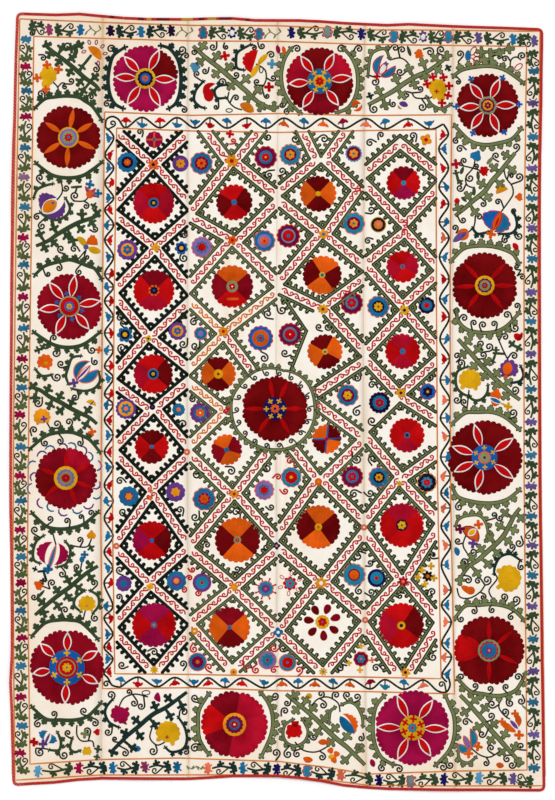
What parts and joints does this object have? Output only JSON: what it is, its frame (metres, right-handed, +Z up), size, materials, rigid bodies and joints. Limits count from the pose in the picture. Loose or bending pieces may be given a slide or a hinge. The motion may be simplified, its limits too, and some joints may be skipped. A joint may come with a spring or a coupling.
{
  "type": "suzani embroidered cover",
  "caption": "Flat embroidered cotton cover of hand-woven strips sewn side by side, with raised silk rosettes and a folded binding round its uneven edge.",
  "frame": {"origin": "middle of the cloth's box, on the surface it lies on", "axes": "+Y along the cloth to the pattern's top edge, +X to its right edge, +Z up out of the face"},
  "size_m": [1.8222, 2.648, 0.0077],
  "materials": {
    "cotton": "hand-woven cream cotton with couched silk",
    "braid": "red loop-braided binding"
  },
  "bodies": {
    "root": {"panel_1": "cotton", "panel_2": "cotton", "panel_3": "cotton", "panel_4": "cotton", "panel_5": "cotton", "panel_6": "cotton", "binding_top": "braid", "binding_right": "braid", "binding_bottom": "braid", "binding_left": "braid"}
  },
  "joints": []
}
